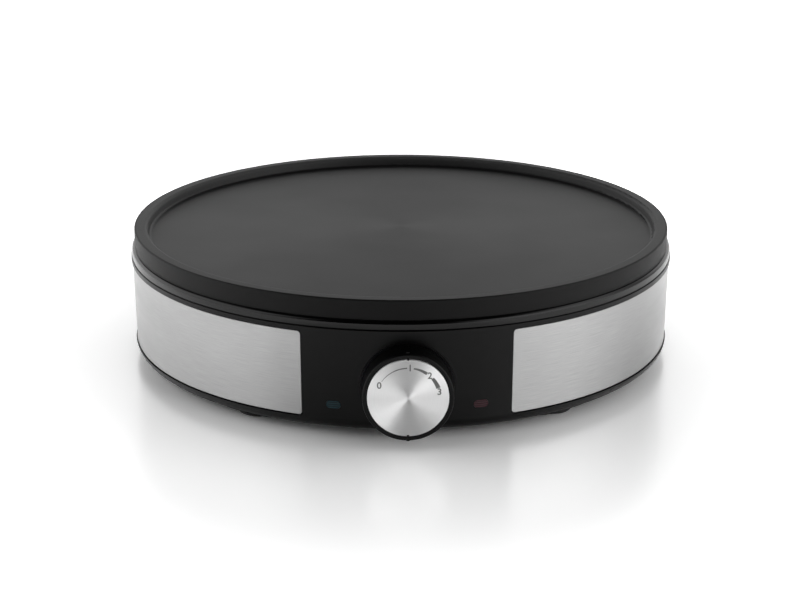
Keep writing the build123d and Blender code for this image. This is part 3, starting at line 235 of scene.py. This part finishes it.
def brushed_stainless():
    """Stainless sheet brushed along its length: long fine scratches and soft cloudy bands."""
    material, tree, shader, place = start_material("brushed_stainless", "#999999", 1.0, 0.34)
    # A scratch is about 14 mm long and a quarter of a millimetre wide, coarse enough to show
    scratch_length_mm, scratch_width_mm = 14, 0.25
    band_length_mm, band_width_mm = 40, 12
    wall = unrolled_wall(tree, place, body_radius)
    scratch_place = add_node(
        tree, "ShaderNodeVectorMath",
        {0: wall, 1: (1 / scratch_length_mm, 1 / scratch_width_mm, 1)}, operation="MULTIPLY",
    )
    scratches = add_node(
        tree, "ShaderNodeTexNoise",
        {"Vector": scratch_place, "Scale": 1 / MM, "Detail": 3.0, "Roughness": 0.6},
    )
    band_place = add_node(
        tree, "ShaderNodeVectorMath",
        {0: wall, 1: (1 / band_length_mm, 1 / band_width_mm, 1)}, operation="MULTIPLY",
    )
    bands = add_node(
        tree, "ShaderNodeTexNoise", {"Vector": band_place, "Scale": 1 / MM, "Detail": 2.0}
    )
    colour = add_node(
        tree, "ShaderNodeMix",
        {"Factor": scratches, COLOUR_A: linear("#868686"), COLOUR_B: linear("#acacac")},
        data_type="RGBA",
    ).outputs[MIXED_COLOUR]
    band_roughness = add_node(
        tree, "ShaderNodeMapRange",
        {"Value": bands, "From Min": NOISE_LOW, "From Max": NOISE_HIGH, "To Min": 0.29, "To Max": 0.37},
    )
    scratch_roughness = add_node(
        tree, "ShaderNodeMapRange",
        {"Value": scratches, "From Min": 0.2, "From Max": 0.8, "To Min": -0.03, "To Max": 0.03},
    )
    roughness = add_node(
        tree, "ShaderNodeMath", {0: band_roughness, 1: scratch_roughness}, operation="ADD"
    )
    relief = add_node(
        tree, "ShaderNodeBump", {"Height": scratches, "Distance": 0.012 * MM, "Strength": 0.4}
    )
    set_inputs(tree, shader, {
        "Base Color": colour,
        "Roughness": roughness,
        "Anisotropic": 0.6,
        "Anisotropic Rotation": 0.25,
        "Tangent": add_node(tree, "ShaderNodeTangent", direction_type="RADIAL", axis="Z"),
        "Normal": relief,
    })
    return material


def spun_aluminium():
    """Aluminium turned on its face: fine circles that pull the light into fans from the centre."""
    material, tree, shader, place = start_material("spun_aluminium", "#f0f0f0", 1.0, 0.5)
    # One turned ring every 0.12 mm on the real face, drawn at 0.3 mm so that it shows
    ring_spacing_mm = 0.3
    radius = distance_from_axis(tree, place, "Y", knob_centre)
    rings = add_node(
        tree, "ShaderNodeTexNoise",
        {"W": radius, "Scale": 1 / (ring_spacing_mm * MM), "Detail": 2.0, "Roughness": 0.7},
        noise_dimensions="1D",
    )
    colour = add_node(
        tree, "ShaderNodeMix",
        {"Factor": rings, COLOUR_A: linear("#e6e6e6"), COLOUR_B: linear("#f8f8f8")}, data_type="RGBA",
    ).outputs[MIXED_COLOUR]
    roughness = add_node(
        tree, "ShaderNodeMapRange",
        {"Value": rings, "From Min": NOISE_LOW, "From Max": NOISE_HIGH, "To Min": 0.46, "To Max": 0.54},
    )
    relief = add_node(
        tree, "ShaderNodeBump", {"Height": rings, "Distance": 0.008 * MM, "Strength": 0.3}
    )
    set_inputs(tree, shader, {
        "Base Color": colour,
        "Roughness": roughness,
        "Anisotropic": 0.95,
        "Anisotropic Rotation": 0.25,
        "Tangent": add_node(tree, "ShaderNodeTangent", direction_type="RADIAL", axis="Y"),
        "Normal": relief,
    })
    return material


def tinted_lens(name, groove_hex, painted_crest_highlight_hex):
    """Tinted clear moulding over an unlit lamp: dark, polished, with ribs lying across it whose crests
    are painted lighter as painted highlights.
    """
    material, tree, shader, place = start_material(name, groove_hex, 0.0, 0.12)
    rib_spacing_mm = 1.1
    # A wave texture of scale 1 turns through 20 radians in a metre
    wave_turn = 20
    ribs = add_node(
        tree, "ShaderNodeTexWave",
        {"Vector": place, "Scale": math.tau / wave_turn / (rib_spacing_mm * MM), "Distortion": 0.0},
        bands_direction="Z",
    ).outputs["Fac"]
    # The rib crests are painted lighter than the grooves: painted highlights on the ribs
    colour = add_node(
        tree, "ShaderNodeMix",
        {"Factor": ribs, COLOUR_A: linear(groove_hex), COLOUR_B: linear(painted_crest_highlight_hex)}, data_type="RGBA",
    ).outputs[MIXED_COLOUR]
    relief = add_node(
        tree, "ShaderNodeBump", {"Height": ribs, "Distance": 0.03 * MM, "Strength": 0.3}
    )
    set_inputs(tree, shader, {"Base Color": colour, "Specular IOR Level": 0.2, "Normal": relief})
    return material


def rolled_metal(name, hex_code, roughness, patch_mm):
    """Plated, aluminised or rolled metal: a soft sheen, mottled where the coating varies."""
    material, tree, shader, place = start_material(name, hex_code, 1.0, roughness)
    set_inputs(tree, shader, {
        "Roughness": patchy(tree, place, patch_mm, roughness - 0.08, roughness + 0.08, 4.0, 0.6),
        "Normal": pitted(tree, place, patch_mm / 6, 0.01, 0.4),
    })
    return material


def moulded_rubber():
    """Moulded rubber: dull black with a trace of bloom."""
    material, tree, shader, place = start_material("moulded_rubber", "#161616", 0.0, 0.75)
    bloom = add_node(
        tree, "ShaderNodeTexNoise", {"Vector": place, "Scale": 1 / (4.0 * MM), "Detail": 3.0}
    )
    colour = add_node(
        tree, "ShaderNodeMix",
        {"Factor": bloom, COLOUR_A: linear("#131313"), COLOUR_B: linear("#1e1e1e")}, data_type="RGBA",
    ).outputs[MIXED_COLOUR]
    set_inputs(tree, shader, {"Base Color": colour, "Normal": pitted(tree, place, 0.4, 0.03, 0.6)})
    return material


def fired_ceramic(name, hex_code):
    """Unglazed steatite: chalky, with fine pits."""
    material, tree, shader, place = start_material(name, hex_code, 0.0, 0.6)
    set_inputs(tree, shader, {"Normal": pitted(tree, place, 0.3, 0.02, 0.6)})
    return material


def lamp_glass():
    """Clear glass of the neon capsules."""
    material, tree, shader, place = start_material("lamp_glass", "#e8e8e8", 0.0, 0.05)
    set_inputs(tree, shader, {
        "Transmission Weight": 1.0,
        "Normal": pitted(tree, place, 2.0, 0.01, 0.2, 1.0),
    })
    return material


def dial_print():
    """Grey pad-printed ink on the disc, a little uneven where it lies thin."""
    material, tree, shader, place = start_material("dial_print", "#7e7e7d", 0.0, 0.5)
    thinning = add_node(
        tree, "ShaderNodeTexNoise", {"Vector": place, "Scale": 1 / (0.6 * MM), "Detail": 2.0}
    )
    colour = add_node(
        tree, "ShaderNodeMix",
        {"Factor": thinning, COLOUR_A: linear("#777776"), COLOUR_B: linear("#868685")},
        data_type="RGBA",
    ).outputs[MIXED_COLOUR]
    set_inputs(tree, shader, {"Base Color": colour})
    return material


materials = {
    "plate_coating": nonstick_coated_aluminium(),
    # Steel sheath browned by its own heat
    "element_steel": rolled_metal("heat_darkened_steel", "#5c5650", 0.45, 6),
    # Zinc plating: pale, cool and fairly bright
    "plated_steel": rolled_metal("zinc_plated_steel", "#b2b3b0", 0.32, 5),
    # Hot-dipped sheet: pale grey with large soft spangles
    "aluminised_sheet": rolled_metal("aluminised_sheet_steel", "#b9bbbd", 0.38, 9),
    # Drawn alloy can: quiet and yellowish
    "fuse_case": rolled_metal("fuse_case_alloy", "#b5a77e", 0.35, 4),
    # Rolled brass: warm yellow, the brightest of the metals
    "brass_parts": rolled_metal("rolled_brass", "#c9a658", 0.28, 5),
    "gloss_black": gloss_phenolic(),
    # Finely textured mould: black with a soft sheen
    "housing_black": satin_moulded_plastic("satin_black_housing", "#050505", 0.32, 0.35, 0.012),
    "panel_steel": brushed_stainless(),
    # Coarser mould on the underside: matt, and greyer than the housing
    "cover_black": satin_moulded_plastic("matt_black_cover", "#0f0f10", 0.5, 0.5, 0.03),
    "foot_rubber": moulded_rubber(),
    "white_ceramic": fired_ceramic("steatite", "#d8d2c4"),
    # Rolled strip of two alloys: warm grey with a low sheen
    "bimetal": rolled_metal("bimetal_strip_alloy", "#9a9086", 0.3, 5),
    # The housing's black from a smoother mould
    "knob_black": satin_moulded_plastic("satin_black_knob", "#050505", 0.32, 0.35, 0.01),
    "disc_aluminium": spun_aluminium(),
    "red_lens": tinted_lens("red_tinted_lens", "#2a0f14", "#4c2730"),
    "green_lens": tinted_lens("green_tinted_lens", "#0c2126", "#204149"),
    "lamp_glass": lamp_glass(),
    # Uncoloured polyamide: creamy white and matt
    "holder_white": satin_moulded_plastic("white_polyamide", "#cfcdc4", 0.5, 0.5, 0.02),
}
for part in frame["record"]["subparts"]:
    mesh = nodes[part["node"]].data
    mesh.materials.clear()
    mesh.materials.append(materials[part["material_slot"]])


# ------------------------------------------------------------------ collar ring under the plate
def moulded_collar():
    """The collar ring turned in one fine sweep, so that its bead carries an unbroken highlight."""
    low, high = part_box("collar_ring")
    outer = high.x
    # Distances inwards from the bead's outer wall
    lap, bead_end, groove_start = 1.9 * MM, 2.0 * MM, 2.4 * MM
    seat_outer, seat_inner, ring_inner = 4.71 * MM, 9.21 * MM, 10.61 * MM
    # Heights: the ring laps the housing, the plate stands on the seat, and the bead hides the joint
    lap_top = low.z + 0.25 * MM
    bead_top = high.z + 0.25 * MM
    groove_floor = high.z - 0.45 * MM
    seat_top = high.z
    seat_underside = high.z - 1.6 * MM
    lap_rounding, bead_rounding = 0.35 * MM, 1.9 * MM
    rounding_steps = 8
    turn_steps = 384
    smooth_below = math.radians(30)
    # Corners of the section: distance inwards, height, and how far each is rounded
    section = [
        (ring_inner, low.z, 0), (lap, low.z, 0), (lap, lap_top, 0), (0, lap_top, lap_rounding),
        (0, bead_top, bead_rounding), (bead_end, bead_top, 0), (groove_start, groove_floor, 0),
        (seat_outer, groove_floor, 0), (seat_outer, seat_top, 0), (seat_inner, seat_top, 0),
        (seat_inner, seat_underside, 0), (ring_inner, seat_underside, 0),
    ]
    bpy.ops.object.select_all(action="DESELECT")
    bpy.ops.mesh.primitive_circle_add(vertices=len(section), fill_type="NGON")
    piece = bpy.context.object
    piece.name = "moulded_collar"
    for vertex, (inwards, height, _) in zip(piece.data.vertices, section):
        vertex.co = (outer - inwards, 0, height)
    bpy.ops.object.mode_set(mode="EDIT")
    bpy.ops.mesh.select_mode(type="VERT")
    for inwards, height, rounding in section:
        if rounding:
            bpy.ops.mesh.select_all(action="DESELECT")
            bpy.ops.object.mode_set(mode="OBJECT")
            corner = Vector((outer - inwards, 0, height))
            for vertex in piece.data.vertices:
                vertex.select = (vertex.co - corner).length < 0.01 * MM
            bpy.ops.object.mode_set(mode="EDIT")
            bpy.ops.mesh.bevel(offset=rounding, segments=rounding_steps, affect="VERTICES")
    bpy.ops.mesh.select_all(action="SELECT")
    bpy.ops.mesh.delete(type="ONLY_FACE")
    bpy.ops.mesh.select_all(action="SELECT")
    bpy.ops.mesh.spin(steps=turn_steps, angle=math.tau, center=(0, 0, 0), axis=(0, 0, 1))
    bpy.ops.mesh.select_all(action="SELECT")
    bpy.ops.mesh.remove_doubles(threshold=0.001 * MM)
    bpy.ops.mesh.normals_make_consistent(inside=False)
    bpy.ops.object.mode_set(mode="OBJECT")
    bpy.ops.object.shade_smooth_by_angle(angle=smooth_below)
    piece.data.materials.clear()
    piece.data.materials.append(materials["gloss_black"])
    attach(piece, "body")
    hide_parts("collar_ring")


moulded_collar()


# ------------------------------------------------------------------ dial print on the knob disc
print_height = 0.03 * MM
dial_radius = 15.6 * MM
digit_height = 3.4 * MM
digit_boldness = 0.09 * MM
# A digit is this share of its text size in height
digit_share = 0.72
digit_angles = {"0": 155.0, "1": 86.5, "2": 47.4, "3": 11.6}
# Where each printed band begins and ends, in degrees, and its width there in millimetres
dial_bands = {
    "dial_band_low": ((146.0, 92.0), (0.2, 0.65)),
    "dial_band_middle": ((80.0, 54.0), (0.75, 1.6)),
    "dial_band_high": ((40.5, 19.5), (1.6, 2.2)),
}
band_steps = 24
ink = dial_print()


def stand_on_disc(piece):
    """Turns a flat piece drawn in X and Y to face the front, on the disc's face, and applies it."""
    bpy.ops.object.select_all(action="DESELECT")
    piece.select_set(True)
    bpy.context.view_layer.objects.active = piece
    piece.rotation_euler = (math.radians(90), 0, 0)
    piece.location = knob_centre
    bpy.ops.object.transform_apply(location=True, rotation=True, scale=True)
    piece.data.materials.clear()
    piece.data.materials.append(ink)
    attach(piece, "control_knob")


def dial_digit(digit, angle_deg):
    """One printed number, upright at its place on the dial."""
    bpy.ops.object.text_add()
    piece = bpy.context.object
    piece.name = f"dial_number_{digit}"
    piece.data.body = digit
    piece.data.align_x = "CENTER"
    piece.data.align_y = "CENTER"
    piece.data.size = digit_height / digit_share
    piece.data.extrude = print_height / 2
    piece.data.offset = digit_boldness
    angle = math.radians(angle_deg)
    piece.location = (dial_radius * math.cos(angle), dial_radius * math.sin(angle), print_height)
    bpy.ops.object.select_all(action="DESELECT")
    piece.select_set(True)
    bpy.ops.object.convert(target="MESH")
    bpy.ops.object.transform_apply(location=True, rotation=True, scale=True)
    stand_on_disc(piece)


def dial_band(name, angles_deg, widths_mm):
    """A printed arc that widens as the heat rises."""
    bpy.ops.mesh.primitive_grid_add(x_subdivisions=band_steps, y_subdivisions=1, size=1)
    piece = bpy.context.object
    piece.name = name
    (start_deg, end_deg), (start_width, end_width) = angles_deg, widths_mm
    for vertex in piece.data.vertices:
        share = vertex.co.x + 0.5
        angle = math.radians(start_deg + (end_deg - start_deg) * share)
        width = (start_width + (end_width - start_width) * share) * MM
        radius = dial_radius - vertex.co.y * width
        vertex.co = (radius * math.cos(angle), radius * math.sin(angle), print_height / 2)
    thick = piece.modifiers.new("ink", "SOLIDIFY")
    thick.thickness = print_height
    thick.offset = 0
    bpy.ops.object.modifier_apply(modifier="ink")
    stand_on_disc(piece)


for digit, angle_deg in digit_angles.items():
    dial_digit(digit, angle_deg)
for name, (angles_deg, widths_mm) in dial_bands.items():
    dial_band(name, angles_deg, widths_mm)


# ------------------------------------------------------------------ floor, light and camera
# Lights round the object. Bearing in degrees (0 is the front, 90 the right side): where the light
# begins, is full, stops being full and ends. Height in degrees, likewise. Then its strength.
studio_lights = {
    "left bank": ((-150, -112, -66, -36), (-90, -60, 42, 58), 1.8),
    "right bank": ((20, 46, 76, 125), (-90, -60, 30, 45), 2.6),
    "high right": ((60, 80, 130, 160), (30, 45, 50, 62), 1.5),
}
# The wall behind: bearings on either side where it begins and is full, heights where it stops
# being full and ends, and its strength
back_wall = ((110, 140), (25, 40), 1.2)


def white_floor():
    """White glossy board: it keeps the shadow in front of the object, is painted whiter at the object's
    two sides, and mirrors the object faintly.
    """
    board_size = 12.0
    # The board is painted whiter beyond the object's two sides than in front of it: painted light that
    # washes out the object's shadow there
    front_end, side_start = 0.13, 0.18
    front_level, side_painted_light_level = 2.2, 2.9
    # Its polish is full near the object and low further out
    polish_near, polish_far = (0.16, 0.5), (0.34, 0.1)
    bpy.ops.mesh.primitive_plane_add(size=board_size, location=(0, 0, 0))
    floor = bpy.context.object
    floor.name = "studio_floor"
    material, tree, _, place = start_material("white_acrylic_board", "#ffffff", 0.0, 0.24)
    path = add_node(tree, "ShaderNodeLightPath")
    looked_at = add_node(
        tree, "ShaderNodeMath",
        {0: path.outputs["Is Camera Ray"], 1: path.outputs["Is Glossy Ray"]}, operation="ADD",
    )
    seen = add_node(
        tree, "ShaderNodeMath",
        {0: looked_at, 1: path.outputs["Is Transmission Ray"]}, operation="ADD", use_clamp=True,
    )
    split = add_node(tree, "ShaderNodeSeparateXYZ", {"Vector": place})
    sideways = add_node(tree, "ShaderNodeMath", {0: split.outputs["X"]}, operation="ABSOLUTE")
    # Painted light: the camera and reflections see the board whiter beyond the object's sides, where
    # its shadow would fall
    seen_level = add_node(
        tree, "ShaderNodeMapRange",
        {
            "Value": sideways, "From Min": front_end, "From Max": side_start,
            "To Min": front_level, "To Max": side_painted_light_level,
        },
    )
    level = add_node(
        tree, "ShaderNodeMix", {"Factor": seen, "A": 1.0, "B": seen_level}, data_type="FLOAT"
    )
    colour = add_node(
        tree, "ShaderNodeMix",
        {"Factor": seen, COLOUR_A: linear("#a0a0a0"), COLOUR_B: linear("#ffffff")}, data_type="RGBA",
    ).outputs[MIXED_COLOUR]
    white = add_node(
        tree, "ShaderNodeVectorMath", {0: colour, "Scale": level}, operation="SCALE"
    )
    near = add_node(
        tree, "ShaderNodeMapRange",
        {
            "Value": distance_from_axis(tree, place, "Z"),
            "From Min": polish_near[0], "From Max": polish_far[0],
            "To Min": polish_near[1], "To Max": polish_far[1],
        },
    )
    polish = add_node(tree, "ShaderNodeMath", {0: near, 1: seen}, operation="MULTIPLY")
    matt = add_node(tree, "ShaderNodeBsdfDiffuse", {"Color": white})
    gloss = add_node(tree, "ShaderNodeBsdfAnisotropic", {"Roughness": 0.25})
    board = add_node(tree, "ShaderNodeMixShader", {0: polish, 1: matt, 2: gloss})
    set_inputs(tree, tree.nodes["Material Output"], {"Surface": board})
    floor.data.materials.append(material)


def studio_world():
    """White to the camera. To the object: banks of light at the sides, a soft wall behind."""
    world = bpy.data.worlds.new("studio")
    bpy.context.scene.world = world
    world.use_nodes = True
    tree = world.node_tree
    direction = add_node(tree, "ShaderNodeTexCoord").outputs["Generated"]
    split = add_node(tree, "ShaderNodeSeparateXYZ", {"Vector": direction})
    height = split.outputs["Z"]
    forwards = add_node(
        tree, "ShaderNodeMath", {0: split.outputs["Y"], 1: -1.0}, operation="MULTIPLY"
    )
    bearing = add_node(
        tree, "ShaderNodeMath", {0: split.outputs["X"], 1: forwards}, operation="ARCTAN2"
    )
    either_side = add_node(tree, "ShaderNodeMath", {0: bearing}, operation="ABSOLUTE")

    # The edges of each light: what it fades by, from where, to where, and whether it comes or goes
    comes, goes = (0.0, 1.0), (1.0, 0.0)
    lights = []
    for bearings, heights, strength in studio_lights.values():
        turns = [math.radians(angle) for angle in bearings]
        rises = [math.sin(math.radians(angle)) for angle in heights]
        lights.append(([
            (bearing, turns[0], turns[1], comes), (bearing, turns[2], turns[3], goes),
            (height, rises[0], rises[1], comes), (height, rises[2], rises[3], goes),
        ], strength))
    bearings, heights, strength = back_wall
    turns = [math.radians(angle) for angle in bearings]
    rises = [math.sin(math.radians(angle)) for angle in heights]
    lights.append(([(either_side, *turns, comes), (height, *rises, goes)], strength))

    studio = 0.0
    for edges, strength in lights:
        light = 1.0
        for value, start, end, (at_start, at_end) in edges:
            fade = add_node(
                tree, "ShaderNodeMapRange",
                {
                    "Value": value, "From Min": start, "From Max": end,
                    "To Min": at_start, "To Max": at_end,
                },
            )
            light = add_node(tree, "ShaderNodeMath", {0: light, 1: fade}, operation="MULTIPLY")
        light = add_node(tree, "ShaderNodeMath", {0: light, 1: strength}, operation="MULTIPLY")
        studio = add_node(tree, "ShaderNodeMath", {0: studio, 1: light}, operation="ADD")

    path = add_node(tree, "ShaderNodeLightPath")
    seen = add_node(
        tree, "ShaderNodeMath",
        {0: path.outputs["Is Camera Ray"], 1: path.outputs["Is Transmission Ray"]}, operation="ADD",
    )
    shown = add_node(
        tree, "ShaderNodeMix", {"Factor": seen, "A": studio, "B": 1.0}, data_type="FLOAT"
    )
    set_inputs(tree, tree.nodes["Background"], {"Color": (1, 1, 1, 1), "Strength": shown})


def camera():
    """Looks at the body from a little left of the front."""
    azimuth = math.radians(-1.228)
    elevation = math.radians(18.38)
    distance = 1.0326
    target = Vector((-0.45 * MM, 0, 23.47 * MM))
    back = Vector((
        math.sin(azimuth) * math.cos(elevation),
        -math.cos(azimuth) * math.cos(elevation),
        math.sin(elevation),
    ))
    data = bpy.data.cameras.new("camera")
    data.lens = 80.6
    data.sensor_width = 36.0
    piece = bpy.data.objects.new("camera", data)
    bpy.context.scene.collection.objects.link(piece)
    piece.location = target + back * distance
    piece.rotation_euler = (-back).to_track_quat("-Z", "Y").to_euler()
    bpy.context.scene.camera = piece


white_floor()
studio_world()
camera()
bpy.context.scene.view_settings.view_transform = "Standard"
